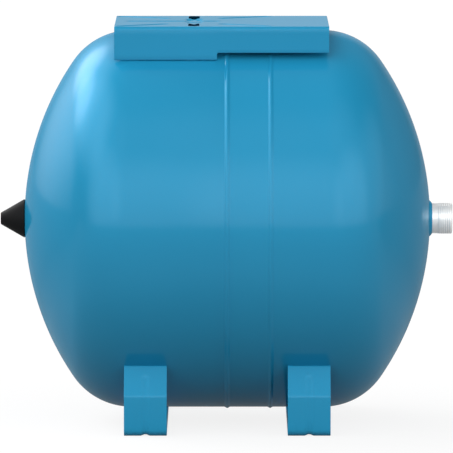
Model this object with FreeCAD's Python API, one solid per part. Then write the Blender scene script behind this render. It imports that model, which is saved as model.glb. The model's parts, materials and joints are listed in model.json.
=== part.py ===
import FreeCAD, Part
import math
import os
from FreeCAD import Vector

# Horizontal 50 litre expansion tank with a pump console. Millimetres, +Z up, X along the tank.
# Each piece is built about the tank's own axis and middle, and moved to the floor when it is written.

# Tank shell: two deep drawn halves with torispherical heads
TANK_DIAMETER = 409.0
TANK_LENGTH = 440.0
SHELL_WALL = 1.5
CROWN_RADIUS = 303.0
KNUCKLE_RADIUS = 76.0

# Girth weld and the inner lap behind it
LAP_LENGTH = 12.0
LAP_RUN = 3.5
LAP_START = -1.5
LAP_CLEARANCE = 0.05
WELD_BEAD_WIDTH = 6.4
WELD_BEAD_HEIGHT = 1.5

# Rolled bead that holds the diaphragm's rim
ROLLED_BEAD_OFFSET = 46.5
ROLLED_BEAD_WIDTH = 6.4
ROLLED_BEAD_HEIGHT = 1.4

# Diaphragm and its clamp ring
DIAPHRAGM_THICKNESS = 2.5
RUBBER_CLEARANCE = 0.3
CLAMP_SHEET = 1.5
CLAMP_CLEARANCE = 0.1
CLAMP_FLANGE = 4.0
CLAMP_SEAT = 8.0
CLAMP_SLOPE_RUN = 1.9

# Water connection: parallel pipe thread size 1, written at its crest
THREAD_CREST_RADIUS = 16.62
THREAD_ROOT_RADIUS = 15.15
NOZZLE_PROTRUSION = 24.1
NOZZLE_NECK_END = 7.6
NOZZLE_BORE_RADIUS = 12.5
NOZZLE_SHANK_RADIUS = 15.0
NOZZLE_CHAMFER = 1.4
NOZZLE_FILLET_LEG = 4.6
NOZZLE_FILLET_HEIGHT = 2.4
FILLET_LIP = 0.25
FILLET_SWELL = 0.42
WELD_CLEARANCE = 0.05

# Perforated guard at the inner end of the connection
GRID_RADIUS = 13.9
GRID_THICKNESS = 2.0
GRID_HOLE_RADIUS = 3.0
GRID_PITCH_RADIUS = 8.6
GRID_OUTER_HOLES = 6
PRESS_CLEARANCE = 0.02

# Gas valve stem
STEM_SHANK_RADIUS = 6.0
STEM_INNER_REACH = 5.0
STEM_SHOULDER = 5.0
STEM_BODY_RADIUS = 4.6
STEM_THREAD_START = 8.6
STEM_THREAD_RADIUS = 3.85
STEM_LENGTH = 19.5
STEM_CHAMFER = 0.6
STEM_FILLET_LEG = 2.6
CORE_THREAD_RADIUS = 2.6
CORE_CLEARANCE = 0.05
SEAT_TOP = 13.8
SEAT_BOTTOM = 12.6
SEAT_TOP_RADIUS = 2.3
SEAT_BOTTOM_RADIUS = 1.9
STEM_BORE_RADIUS = 2.4
STEM_BORE_STEP = 9.4

# Valve core, its pin and spring
CORE_RECESS = 0.4
CORE_HEAD_LENGTH = 3.6
BARREL_RADIUS = 1.5
BARREL_BORE_RADIUS = 1.15
BARREL_END = 8.0
BARREL_FLOOR = 0.7
BRIDGE_WIDTH = 1.9
AIR_WAY_RADIUS = 1.95
PIN_RADIUS = 0.7
PIN_CLEARANCE = 0.05
PIN_RECESS = 0.25
PIN_COLLAR_RADIUS = 1.08
PIN_COLLAR_LENGTH = 0.6
PIN_CUP_RADIUS = 1.7
PIN_CUP_LENGTH = 1.0
PIN_SEAL_THICKNESS = 0.8
SPRING_WIRE_RADIUS = 0.14
SPRING_TURNS = 6

# Valve cap: a hollow cone with an inner hub that pushes over the stem
CAP_PROTRUSION = 26.0
CAP_BASE_SINK = 0.5
CAP_BASE_RADIUS = 20.7
CAP_RIM_HEIGHT = 1.2
CAP_TIP_RADIUS = 6.2
CAP_TIP_ROUND = 1.4
CAP_WALL = 2.0
CAP_HUB_WALL = 1.8
CAP_HUB_CLEARANCE = 0.05
CAP_HUB_START = 9.0
CAP_RIB_COUNT = 6
CAP_RIB_THICKNESS = 1.2
CAP_RIB_START = 4.0

# Pump console: one folded sheet
CONSOLE_LENGTH = 230.5
CONSOLE_DEPTH = 204.0
CONSOLE_END = 109.3
CONSOLE_SHEET = 2.5
CONSOLE_RISE = 10.0
CONSOLE_BEND_RADIUS = 4.0
SKIRT_SEAT = 0.2
SKIRT_RELIEF = 7.5
SKIRT_STEP_GAP = 7.8
SKIRT_CORNER_RADIUS = 2.0
SLOT_WIDTH = 12.0
SLOT_LENGTH = 48.0
SLOT_SPACING = 136.0
SLOT_CENTRE = -36.0
GROOVE_DEPTH = 1.8
GROOVE_RADIUS = 6.0
ARM_INNER = (32.0, 53.0)
ARM_OUTER = (78.0, 88.0)
RIB_BACK = 67.0
RIB_FRONT = 23.0
SADDLE_DEPTH = 1.4
SADDLE_RADIUS = 27.0
SADDLE_HALF_LENGTH = 38.0

# Feet: one folded strap each, seen from the tank's end
FOOT_WIDTH = 45.8
FOOT_SHEET = 2.5
FOOT_OVERHANG = 6.3
FOOT_BEND_RADIUS = 6.5
GROUND_CLEARANCE = 15.7
LIP_ANGLE = 45.4
LIP_LENGTH = 35.7
LIP_LEAN = 27.1
LIP_CLEARANCE = 0.1
FOOT_GROOVE_RADIUS = 7.0
FOOT_GROOVE_DEPTH = 2.2
FOOT_GROOVE_START = 0.46

# Fillet welds of the console and feet
STITCH_LEG = 4.0
STITCH_SHARE = 0.65
CONSOLE_STITCHES = 3
FOOT_STITCHES = 2

tank_radius = TANK_DIAMETER / 2
apex = TANK_LENGTH / 2
crown_centre = apex - CROWN_RADIUS
knuckle_reach = (CROWN_RADIUS - KNUCKLE_RADIUS) ** 2 - (tank_radius - KNUCKLE_RADIUS) ** 2
tangent = crown_centre + math.sqrt(knuckle_reach)
axis_height = tank_radius + GROUND_CLEARANCE
middle_x = (CAP_PROTRUSION - NOZZLE_PROTRUSION) / 2
AXIS = Vector(1, 0, 0)
ORIGIN = Vector(0, 0, 0)


def at(x, r):
    """A point of a half section, r out from the tank's axis."""
    return Vector(x, 0, r)


def line(a, b):
    return Part.LineSegment(a, b).toShape()


def arc(a, b, c):
    return Part.Arc(a, b, c).toShape()


def turned(edges):
    """The solid that a closed half section makes round the X axis."""
    return Part.Face(Part.Wire(Part.__sortEdges__(edges))).revolve(ORIGIN, AXIS, 360)


def turned_polygon(points):
    corners = [at(x, r) for x, r in points]
    return Part.Face(Part.makePolygon(corners + corners[:1])).revolve(ORIGIN, AXIS, 360)


def facing(shape, side):
    """A piece made along +X from the head's apex, put on the head at this side."""
    placed = shape.copy()
    placed.translate(Vector(apex, 0, 0))
    if side < 0:
        placed.rotate(ORIGIN, Vector(0, 0, 1), 180)
    return placed


def offset_points(points, distance):
    """An open line of points moved sideways by distance, to its right, with mitred corners."""
    moved = []
    for i, p in enumerate(points):
        before = (p - points[i - 1]).normalize() if i else None
        after = (points[i + 1] - p).normalize() if i + 1 < len(points) else None
        first = before or after
        last = after or before
        normal = Vector(first.y, -first.x, 0) + Vector(last.y, -last.x, 0)
        moved.append(p + normal * (distance / (1 + first.dot(last))))
    return moved


def rounded_edges(points, radii):
    """Edges along a line of points, with an arc of the given radius at each inner point."""
    edges = []
    start = points[0]
    for i in range(1, len(points) - 1):
        p = points[i]
        back = (points[i - 1] - p).normalize()
        on = (points[i + 1] - p).normalize()
        half = back.getAngle(on) / 2
        reach = radii[i - 1] / math.tan(half)
        a = p + back * reach
        c = p + on * reach
        bisector = (back + on).normalize()
        b = p + bisector * (radii[i - 1] / math.sin(half) - radii[i - 1])
        edges.append(line(start, a))
        edges.append(arc(a, b, c))
        start = c
    edges.append(line(start, points[-1]))
    return edges


def head_arcs(inset, side):
    """The knuckle and crown of a head, this far in from its outer face, from the cylinder to the axis."""
    knuckle = KNUCKLE_RADIUS - inset
    crown = CROWN_RADIUS - inset
    centre = Vector(tangent, 0, tank_radius - KNUCKLE_RADIUS)
    lean = math.atan2(centre.z, tangent - crown_centre)
    middle = (lean + math.pi / 2) / 2

    def on_knuckle(angle):
        return at(side * (centre.x + knuckle * math.cos(angle)), centre.z + knuckle * math.sin(angle))

    def on_crown(angle):
        return at(side * (crown_centre + crown * math.cos(angle)), crown * math.sin(angle))

    return [
        arc(on_knuckle(math.pi / 2), on_knuckle(middle), on_knuckle(lean)),
        arc(on_knuckle(lean), on_crown(lean / 2), on_crown(0)),
    ]


def surface_drop(radius):
    """How far the head's outer face lies behind its apex, at this radius."""
    return CROWN_RADIUS - math.sqrt(CROWN_RADIUS ** 2 - radius ** 2)


def bump(width, height):
    """Radius and centre depth of the arc that stands proud of the shell by height over this width."""
    radius = (width ** 2 / 4 + height ** 2) / (2 * height)
    return radius, tank_radius + height - radius


def round_hole(radius, low, high):
    return Part.makeCylinder(radius, high - low, Vector(low, 0, 0), AXIS)


def tank_envelope(clearance):
    """The outer form of the tank, grown by a clearance, which trims what is welded to it."""
    edges = [line(at(-tangent, tank_radius + clearance), at(tangent, tank_radius + clearance))]
    edges += head_arcs(-clearance, 1) + head_arcs(-clearance, -1)
    edges.append(line(at(-apex - clearance, 0), at(apex + clearance, 0)))
    body = turned(edges)
    weld = ridge_outline(0, WELD_BEAD_WIDTH, WELD_BEAD_HEIGHT, clearance)
    rolled = ridge_outline(ROLLED_BEAD_OFFSET, ROLLED_BEAD_WIDTH, ROLLED_BEAD_HEIGHT, clearance)
    return body.fuse([turned_polygon(weld), turned_polygon(rolled)])


def ridge_outline(x, width, height, clearance):
    half = width / 2 + clearance
    top = tank_radius + height + clearance
    return [(x - half, tank_radius - 1), (x - half, top), (x + half, top), (x + half, tank_radius - 1)]


def gas_side_shell():
    """The half with the valve: its rim is set in by one wall and slips inside the other half."""
    drop = SHELL_WALL + LAP_CLEARANCE
    lap_end = LAP_START + LAP_RUN
    outer = [Vector(LAP_LENGTH, tank_radius - drop, 0), Vector(lap_end, tank_radius - drop, 0)]
    outer += [Vector(LAP_START, tank_radius, 0), Vector(-tangent, tank_radius, 0)]
    inner = offset_points(outer, -SHELL_WALL)
    outer = [at(p.x, p.y) for p in outer]
    inner = [at(p.x, p.y) for p in inner]
    edges = [line(a, b) for a, b in zip(outer, outer[1:])]
    edges += [line(a, b) for a, b in zip(inner, inner[1:])]
    edges += head_arcs(0, -1) + head_arcs(SHELL_WALL, -1)
    edges.append(line(outer[0], inner[0]))
    edges.append(line(at(-apex, 0), at(-apex + SHELL_WALL, 0)))
    hole = round_hole(STEM_SHANK_RADIUS + WELD_CLEARANCE, -apex - SHELL_WALL, -apex + 2 * SHELL_WALL)
    return turned(edges).cut(hole)


def water_side_shell():
    """The half with the connection, and the rolled bead whose inner groove holds the diaphragm."""
    rim = LAP_START + LAP_RUN
    radius, centre = bump(ROLLED_BEAD_WIDTH, ROLLED_BEAD_HEIGHT)
    half = ROLLED_BEAD_WIDTH / 2
    x = ROLLED_BEAD_OFFSET
    inside = tank_radius - SHELL_WALL
    groove_radius = radius - SHELL_WALL
    groove_half = math.sqrt(groove_radius ** 2 - (inside - centre) ** 2)
    edges = [
        line(at(rim, tank_radius), at(x - half, tank_radius)),
        arc(at(x - half, tank_radius), at(x, centre + radius), at(x + half, tank_radius)),
        line(at(x + half, tank_radius), at(tangent, tank_radius)),
        line(at(rim, inside), at(x - groove_half, inside)),
        arc(at(x - groove_half, inside), at(x, centre + groove_radius), at(x + groove_half, inside)),
        line(at(x + groove_half, inside), at(tangent, inside)),
        line(at(rim, tank_radius), at(rim, inside)),
        line(at(apex, 0), at(apex - SHELL_WALL, 0)),
    ]
    edges += head_arcs(0, 1) + head_arcs(SHELL_WALL, 1)
    hole = round_hole(NOZZLE_SHANK_RADIUS + WELD_CLEARANCE, apex - 2 * SHELL_WALL, apex + SHELL_WALL)
    return turned(edges).cut(hole)


def girth_weld():
    """The weld round the middle: a low crown outside, and a root that fills the step of the lap."""
    radius, centre = bump(WELD_BEAD_WIDTH, WELD_BEAD_HEIGHT)
    half = WELD_BEAD_WIDTH / 2
    rim = LAP_START + LAP_RUN
    root = tank_radius - SHELL_WALL - LAP_CLEARANCE
    return turned([
        arc(at(-half, tank_radius), at(0, centre + radius), at(half, tank_radius)),
        line(at(half, tank_radius), at(rim, tank_radius)),
        line(at(rim, tank_radius), at(rim, root)),
        line(at(rim, root), at(LAP_START, tank_radius)),
        line(at(LAP_START, tank_radius), at(-half, tank_radius)),
    ])


def diaphragm():
    """The rubber cup, pressed against the water side by the gas charge, with a round bead at its rim."""
    radius, centre = bump(ROLLED_BEAD_WIDTH, ROLLED_BEAD_HEIGHT)
    bead = radius - SHELL_WALL - RUBBER_CLEARANCE
    x = ROLLED_BEAD_OFFSET
    outer_inset = SHELL_WALL + RUBBER_CLEARANCE
    inner_inset = outer_inset + DIAPHRAGM_THICKNESS
    outer = tank_radius - outer_inset
    inner = tank_radius - inner_inset
    outer_start = x + math.sqrt(bead ** 2 - (outer - centre) ** 2)
    inner_start = x + math.sqrt(bead ** 2 - (inner - centre) ** 2)
    edges = [
        arc(at(outer_start, outer), at(x - bead, centre), at(inner_start, inner)),
        line(at(outer_start, outer), at(tangent, outer)),
        line(at(inner_start, inner), at(tangent, inner)),
        line(at(apex - outer_inset, 0), at(apex - inner_inset, 0)),
    ]
    return turned(edges + head_arcs(outer_inset, 1) + head_arcs(inner_inset, 1))


def diaphragm_clamp_ring():
    """A stepped steel band sprung into the shell, which keeps the diaphragm's bead in its groove."""
    radius, centre = bump(ROLLED_BEAD_WIDTH, ROLLED_BEAD_HEIGHT)
    bead = radius - SHELL_WALL - RUBBER_CLEARANCE
    x = ROLLED_BEAD_OFFSET
    seat = tank_radius - SHELL_WALL - CLAMP_CLEARANCE
    under = centre - bead - RUBBER_CLEARANCE
    slope_end = x - bead + CLAMP_SLOPE_RUN / 3
    slope_start = slope_end - CLAMP_SLOPE_RUN
    path = [Vector(slope_start - CLAMP_FLANGE, seat, 0), Vector(slope_start, seat, 0)]
    path += [Vector(slope_end, under, 0), Vector(slope_end + CLAMP_SEAT, under, 0)]
    band = path + offset_points(path, CLAMP_SHEET)[::-1]
    return turned_polygon([(p.x, p.y) for p in band])


def water_nozzle():
    """The turned connection: shank, neck, thread at its crest, and a counterbore for the guard."""
    grid_end = GRID_THICKNESS - SHELL_WALL
    body = turned_polygon([
        (-SHELL_WALL, GRID_RADIUS + PRESS_CLEARANCE),
        (-SHELL_WALL, NOZZLE_SHANK_RADIUS),
        (0, NOZZLE_SHANK_RADIUS),
        (0, THREAD_ROOT_RADIUS),
        (NOZZLE_NECK_END, THREAD_ROOT_RADIUS),
        (NOZZLE_NECK_END + THREAD_CREST_RADIUS - THREAD_ROOT_RADIUS, THREAD_CREST_RADIUS),
        (NOZZLE_PROTRUSION - NOZZLE_CHAMFER, THREAD_CREST_RADIUS),
        (NOZZLE_PROTRUSION, THREAD_CREST_RADIUS - NOZZLE_CHAMFER),
        (NOZZLE_PROTRUSION, NOZZLE_BORE_RADIUS + NOZZLE_CHAMFER / 2),
        (NOZZLE_PROTRUSION - NOZZLE_CHAMFER / 2, NOZZLE_BORE_RADIUS),
        (grid_end, NOZZLE_BORE_RADIUS),
        (grid_end, GRID_RADIUS + PRESS_CLEARANCE),
    ])
    return facing(body, 1)


def weld_fillet(inner, leg, height):
    """A ring of weld between a head and what stands on it, with a slightly rounded face."""
    outer = inner + leg
    foot = -surface_drop(outer)
    lip = at(height, inner + leg * FILLET_LIP)
    toe = at(foot, outer)
    across = (toe - lip).normalize()
    crown = (lip + toe) / 2 + Vector(across.z, 0, -across.x) * FILLET_SWELL
    ring = turned([
        line(at(-surface_drop(inner) - SHELL_WALL / 2, inner), at(height, inner)),
        line(at(height, inner), lip),
        arc(lip, crown, toe),
        line(toe, at(foot - SHELL_WALL / 2, outer)),
        line(at(foot - SHELL_WALL / 2, outer), at(-surface_drop(inner) - SHELL_WALL / 2, inner)),
    ])
    ring.translate(Vector(apex, 0, 0))
    return ring.cut(tank_envelope(0))


def nozzle_weld():
    return weld_fillet(THREAD_ROOT_RADIUS + WELD_CLEARANCE, NOZZLE_FILLET_LEG, NOZZLE_FILLET_HEIGHT)


def nozzle_grid():
    """The perforated disc that keeps the diaphragm out of the connection."""
    disc = round_hole(GRID_RADIUS, -SHELL_WALL, GRID_THICKNESS - SHELL_WALL)
    holes = [round_hole(GRID_HOLE_RADIUS, -2 * SHELL_WALL, GRID_THICKNESS)]
    for i in range(GRID_OUTER_HOLES):
        angle = 2 * math.pi * i / GRID_OUTER_HOLES
        hole = holes[0].copy()
        hole.translate(Vector(0, math.cos(angle), math.sin(angle)) * GRID_PITCH_RADIUS)
        holes.append(hole)
    return facing(disc.cut(holes), 1)


def valve_stem():
    """The stem welded through the gas side head: shank, shoulder, thread, and the bore for the core."""
    thread_bore = CORE_THREAD_RADIUS + CORE_CLEARANCE
    body = turned_polygon([
        (-STEM_INNER_REACH, STEM_BORE_RADIUS),
        (-STEM_INNER_REACH, STEM_SHANK_RADIUS - STEM_CHAMFER),
        (-STEM_INNER_REACH + STEM_CHAMFER, STEM_SHANK_RADIUS),
        (STEM_SHOULDER, STEM_SHANK_RADIUS),
        (STEM_SHOULDER + STEM_SHANK_RADIUS - STEM_BODY_RADIUS, STEM_BODY_RADIUS),
        (STEM_THREAD_START, STEM_BODY_RADIUS),
        (STEM_THREAD_START, STEM_THREAD_RADIUS),
        (STEM_LENGTH - STEM_CHAMFER, STEM_THREAD_RADIUS),
        (STEM_LENGTH, STEM_THREAD_RADIUS - STEM_CHAMFER),
        (STEM_LENGTH, thread_bore),
        (SEAT_TOP, thread_bore),
        (SEAT_TOP, SEAT_TOP_RADIUS),
        (SEAT_BOTTOM, SEAT_BOTTOM_RADIUS),
        (STEM_BORE_STEP, SEAT_BOTTOM_RADIUS),
        (STEM_BORE_STEP - STEM_BORE_RADIUS + SEAT_BOTTOM_RADIUS, STEM_BORE_RADIUS),
    ])
    return facing(body, -1)


def valve_weld():
    ring = weld_fillet(STEM_SHANK_RADIUS + WELD_CLEARANCE, STEM_FILLET_LEG, STEM_FILLET_LEG)
    ring.rotate(ORIGIN, Vector(0, 0, 1), 180)
    return ring


def core_levels():
    """Heights along the core: the top and foot of its threaded head, and the floor of its barrel."""
    top = STEM_LENGTH - CORE_RECESS
    head_foot = top - CORE_HEAD_LENGTH
    return top, head_foot, BARREL_END + BARREL_FLOOR


def valve_core_body():
    """The screwed-in core: a threaded head with a bridge and two air ways, over a thin barrel."""
    top, head_foot, floor = core_levels()
    guide = PIN_RADIUS + PIN_CLEARANCE
    roof = head_foot - BARREL_FLOOR
    body = turned_polygon([
        (BARREL_END, guide),
        (BARREL_END, BARREL_RADIUS),
        (head_foot, BARREL_RADIUS),
        (head_foot, CORE_THREAD_RADIUS),
        (top, CORE_THREAD_RADIUS),
        (top, guide),
        (roof, guide),
        (roof, BARREL_BORE_RADIUS),
        (floor, BARREL_BORE_RADIUS),
        (floor, guide),
    ])
    width = AIR_WAY_RADIUS * 2
    beside = Part.makeBox(CORE_HEAD_LENGTH, width, width, Vector(head_foot, -width / 2, BRIDGE_WIDTH / 2))
    way = beside.common(round_hole(AIR_WAY_RADIUS, head_foot, top))
    other = way.copy()
    other.rotate(ORIGIN, AXIS, 180)
    return facing(body.cut([way, other]), -1)


def valve_core_packing():
    """The tapered ring round the barrel that seals the core in the stem's seat."""
    slope = (SEAT_TOP_RADIUS - SEAT_BOTTOM_RADIUS) / (SEAT_TOP - SEAT_BOTTOM)
    inner = BARREL_RADIUS + CORE_CLEARANCE / 2
    low = SEAT_BOTTOM + CORE_CLEARANCE
    high = SEAT_TOP - CORE_CLEARANCE
    bottom_radius = SEAT_BOTTOM_RADIUS + slope * CORE_CLEARANCE - CORE_CLEARANCE
    top_radius = SEAT_TOP_RADIUS - slope * CORE_CLEARANCE - CORE_CLEARANCE
    ring = turned_polygon([(low, inner), (low, bottom_radius), (high, top_radius), (high, inner)])
    return facing(ring, -1)


def pin_levels():
    """Heights along the pin: its tip, its collar's foot, and the top of its cup."""
    top, head_foot, floor = core_levels()
    collar_foot = head_foot - BARREL_FLOOR - PIN_CLEARANCE - PIN_COLLAR_LENGTH
    cup_top = BARREL_END - PIN_CLEARANCE - PIN_SEAL_THICKNESS
    return STEM_LENGTH - PIN_RECESS, collar_foot, cup_top


def valve_pin():
    """The sprung pin: a rod with a collar for the spring and a cup for the seal."""
    tip, collar_foot, cup_top = pin_levels()
    cup_foot = cup_top - PIN_CUP_LENGTH
    body = turned_polygon([
        (cup_foot, 0),
        (cup_foot, PIN_CUP_RADIUS),
        (cup_top, PIN_CUP_RADIUS),
        (cup_top, PIN_RADIUS),
        (collar_foot, PIN_RADIUS),
        (collar_foot, PIN_COLLAR_RADIUS),
        (collar_foot + PIN_COLLAR_LENGTH, PIN_COLLAR_RADIUS),
        (collar_foot + PIN_COLLAR_LENGTH, PIN_RADIUS),
        (tip, PIN_RADIUS),
        (tip, 0),
    ])
    return facing(body, -1)


def valve_pin_seal():
    """The rubber washer in the pin's cup, which closes the foot of the barrel."""
    cup_top = pin_levels()[2]
    inner = PIN_RADIUS + PIN_CLEARANCE / 2
    outer = PIN_CUP_RADIUS - PIN_CLEARANCE
    ring = turned_polygon([
        (cup_top, inner),
        (cup_top, outer),
        (cup_top + PIN_SEAL_THICKNESS, outer),
        (cup_top + PIN_SEAL_THICKNESS, inner),
    ])
    return facing(ring, -1)


def valve_spring():
    """The coil round the pin, from the barrel's floor to the collar."""
    floor = core_levels()[2]
    collar_foot = pin_levels()[1]
    mean = (PIN_RADIUS + BARREL_BORE_RADIUS) / 2
    low = floor + SPRING_WIRE_RADIUS + PIN_CLEARANCE
    height = collar_foot - SPRING_WIRE_RADIUS - PIN_CLEARANCE - low
    path = Part.makeHelix(height / SPRING_TURNS, height, mean)
    section = Part.Wire(Part.Circle(Vector(mean, 0, 0), Vector(0, 1, 0), SPRING_WIRE_RADIUS).toShape())
    coil = Part.Wire(path.Edges).makePipeShell([section], True, True)
    coil.rotate(ORIGIN, Vector(0, 1, 0), 90)
    coil.translate(Vector(low, 0, 0))
    return facing(coil, -1)


def valve_cap():
    """The black cone: even walls, a rounded tip, and a ribbed hub that grips the stem."""
    base = -CAP_BASE_SINK
    slope = (CAP_BASE_RADIUS - CAP_TIP_RADIUS) / (CAP_PROTRUSION - CAP_RIM_HEIGHT)
    lean = math.atan(slope)
    rim_top = base + CAP_RIM_HEIGHT
    turn = (math.pi / 2 - lean) / 2
    reach = CAP_TIP_ROUND * math.tan(turn)
    centre = at(CAP_PROTRUSION - CAP_TIP_ROUND, CAP_TIP_RADIUS - reach)
    on_face = at(CAP_PROTRUSION, CAP_TIP_RADIUS - reach)
    on_cone = at(CAP_PROTRUSION - reach * math.cos(lean), CAP_TIP_RADIUS + reach * math.sin(lean))
    corner = at(CAP_PROTRUSION, CAP_TIP_RADIUS)
    middle = centre + (corner - centre).normalize() * CAP_TIP_ROUND
    skin = turned([
        line(at(base, 0), at(base, CAP_BASE_RADIUS)),
        line(at(base, CAP_BASE_RADIUS), at(rim_top, CAP_BASE_RADIUS)),
        line(at(rim_top, CAP_BASE_RADIUS), on_cone),
        arc(on_cone, middle, on_face),
        line(on_face, at(CAP_PROTRUSION, 0)),
        line(at(CAP_PROTRUSION, 0), at(base, 0)),
    ])
    side = CAP_WALL / math.cos(lean)
    roof = CAP_PROTRUSION - CAP_WALL
    roof_radius = CAP_TIP_RADIUS + slope * CAP_WALL - side
    hollow = turned_polygon([
        (base - 1, 0),
        (base - 1, CAP_BASE_RADIUS - side),
        (rim_top, CAP_BASE_RADIUS - side),
        (roof, roof_radius),
        (roof, 0),
    ])
    bore = STEM_THREAD_RADIUS + CAP_HUB_CLEARANCE
    hub = round_hole(bore + CAP_HUB_WALL, CAP_HUB_START, roof)
    ribs = []
    for i in range(CAP_RIB_COUNT):
        rib = Part.makeBox(
            roof - CAP_RIB_START,
            CAP_RIB_THICKNESS,
            CAP_BASE_RADIUS,
            Vector(CAP_RIB_START, -CAP_RIB_THICKNESS / 2, bore + CAP_HUB_WALL / 2),
        )
        rib.rotate(ORIGIN, AXIS, 360 * i / CAP_RIB_COUNT)
        ribs.append(rib)
    inside = hub.fuse([rib.common(hollow) for rib in ribs])
    clear = round_hole(STEM_SHANK_RADIUS + STEM_FILLET_LEG + 1, base - 2, CAP_HUB_START)
    stem_way = round_hole(bore, base - 2, STEM_LENGTH + CAP_HUB_CLEARANCE * 10)
    return facing(skin.cut(hollow).fuse(inside.cut(clear)).cut(stem_way).removeSplitter(), -1)


def round_bar(points, bend, radius):
    """A round bar with ball ends along a line of points: the tool that presses a groove."""
    inner = [bend] * (len(points) - 2)
    edges = rounded_edges(points, inner) if inner else [line(points[0], points[1])]
    path = Part.Wire(edges)
    heading = (points[1] - points[0]).normalize()
    section = Part.Wire(Part.Circle(points[0], heading, radius).toShape())
    bar = path.makePipeShell([section], True, False)
    balls = [Part.makeSphere(radius, end) for end in (points[0], points[-1])]
    return bar.fuse(balls)


def pressed(sheet, behind, bars):
    """A sheet with grooves pressed into it: (face bar, back bar) pairs, backed only inside `behind`."""
    backs = [back.common(behind) for face, back in bars]
    return sheet.fuse(backs).cut([face for face, back in bars])


def console_levels():
    """Height of the console's top, and of the foot of its long and short skirts, over the axis."""
    top = tank_radius + CONSOLE_RISE
    inner = CONSOLE_DEPTH / 2 - CONSOLE_SHEET
    seat = math.sqrt(tank_radius ** 2 - inner ** 2) + SKIRT_SEAT
    return top, seat, seat + SKIRT_RELIEF


def console_groove(ends, depth, radius):
    """The bars that press one groove into the console's top, between two (x, y) ends."""
    top = console_levels()[0]
    points = [Vector(SLOT_CENTRE + x, y, top + radius - depth) for x, y in ends]
    return round_bar(points, 0, radius), round_bar(points, 0, radius + CONSOLE_SHEET)


def pump_console():
    """The folded sheet on top: two bends, stepped skirts, bolt slots and pressed stiffening grooves."""
    top, seat, relief = console_levels()
    half = CONSOLE_DEPTH / 2
    start = CONSOLE_END - CONSOLE_LENGTH
    bend = CONSOLE_BEND_RADIUS
    fold = [Vector(-half, seat, 0), Vector(-half, top, 0), Vector(half, top, 0), Vector(half, seat, 0)]
    back = offset_points(fold, CONSOLE_SHEET)
    edges = rounded_edges(fold, [bend] * 2) + rounded_edges(back, [bend - CONSOLE_SHEET] * 2)
    edges += [line(fold[0], back[0]), line(fold[-1], back[-1])]
    channel = on_end_plane(edges, start, CONSOLE_LENGTH)
    inside = Vector(start, bend / 2 - half, seat)
    behind = Part.makeBox(CONSOLE_LENGTH, CONSOLE_DEPTH - bend, top - seat, inside)
    bars = []
    for x in (-1, 1):
        for y in (-1, 1):
            ends = [(x * ARM_INNER[0], y * ARM_INNER[1]), (x * ARM_OUTER[0], y * ARM_OUTER[1])]
            bars.append(console_groove(ends, GROOVE_DEPTH, GROOVE_RADIUS))
    bars.append(console_groove([(-RIB_BACK, 0), (RIB_FRONT, 0)], GROOVE_DEPTH, GROOVE_RADIUS))
    saddle = [(0, -SADDLE_HALF_LENGTH), (0, SADDLE_HALF_LENGTH)]
    bars.append(console_groove(saddle, SADDLE_DEPTH, SADDLE_RADIUS))
    sheet = pressed(channel, behind, bars)
    slots = [bolt_slot(side * SLOT_SPACING / 2, top) for side in (-1, 1)]
    step = -WELD_BEAD_WIDTH / 2 - SKIRT_STEP_GAP
    beyond = CONSOLE_END + SKIRT_RELIEF
    below = seat - SKIRT_RELIEF
    gap = [Vector(step, -half, below), Vector(step, -half, relief), Vector(beyond, -half, relief)]
    corner = Vector(beyond, -half, below)
    outline = rounded_edges(gap, [SKIRT_CORNER_RADIUS]) + [line(gap[2], corner), line(corner, gap[0])]
    notch = Part.Face(Part.Wire(outline)).extrude(Vector(0, CONSOLE_DEPTH, 0))
    return sheet.cut(slots + [notch]).cut(tank_envelope(LIP_CLEARANCE))


def bolt_slot(y, top):
    """A round-ended slot along Y, right through the console's top."""
    reach = (SLOT_LENGTH - SLOT_WIDTH) / 2
    depth = CONSOLE_SHEET + CONSOLE_RISE
    low = top - depth + 1
    side = SLOT_CENTRE - SLOT_WIDTH / 2
    block = Part.makeBox(SLOT_WIDTH, 2 * reach, depth, Vector(side, y - reach, low))
    near = Part.makeCylinder(SLOT_WIDTH / 2, depth, Vector(SLOT_CENTRE, y - reach, low))
    far = Part.makeCylinder(SLOT_WIDTH / 2, depth, Vector(SLOT_CENTRE, y + reach, low))
    return block.fuse([near, far])


def on_end_plane(edges, start, length):
    """A section drawn in (y, z), swept along X from start."""
    face = Part.Face(Part.Wire(Part.__sortEdges__(edges)))
    face.rotate(ORIGIN, Vector(1, 1, 1), 120)
    solid = face.extrude(Vector(length, 0, 0))
    solid.translate(Vector(start, 0, 0))
    return solid


def foot_path():
    """The foot's outer line in (y, z), from the tip of one lip, under the tank, to the tip of the other."""
    angle = math.radians(LIP_ANGLE)
    lean = math.radians(LIP_LEAN)
    tip = Vector(tank_radius * math.cos(angle), -tank_radius * math.sin(angle), 0)
    bend = tip + Vector(math.sin(lean), -math.cos(lean), 0) * LIP_LENGTH
    tip = tip + (tip - bend).normalize() * FOOT_SHEET
    floor = Vector(bend.x, -axis_height, 0)
    right = [tip, bend, floor]
    return right + [Vector(-p.x, p.y, 0) for p in right[::-1]]


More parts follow.
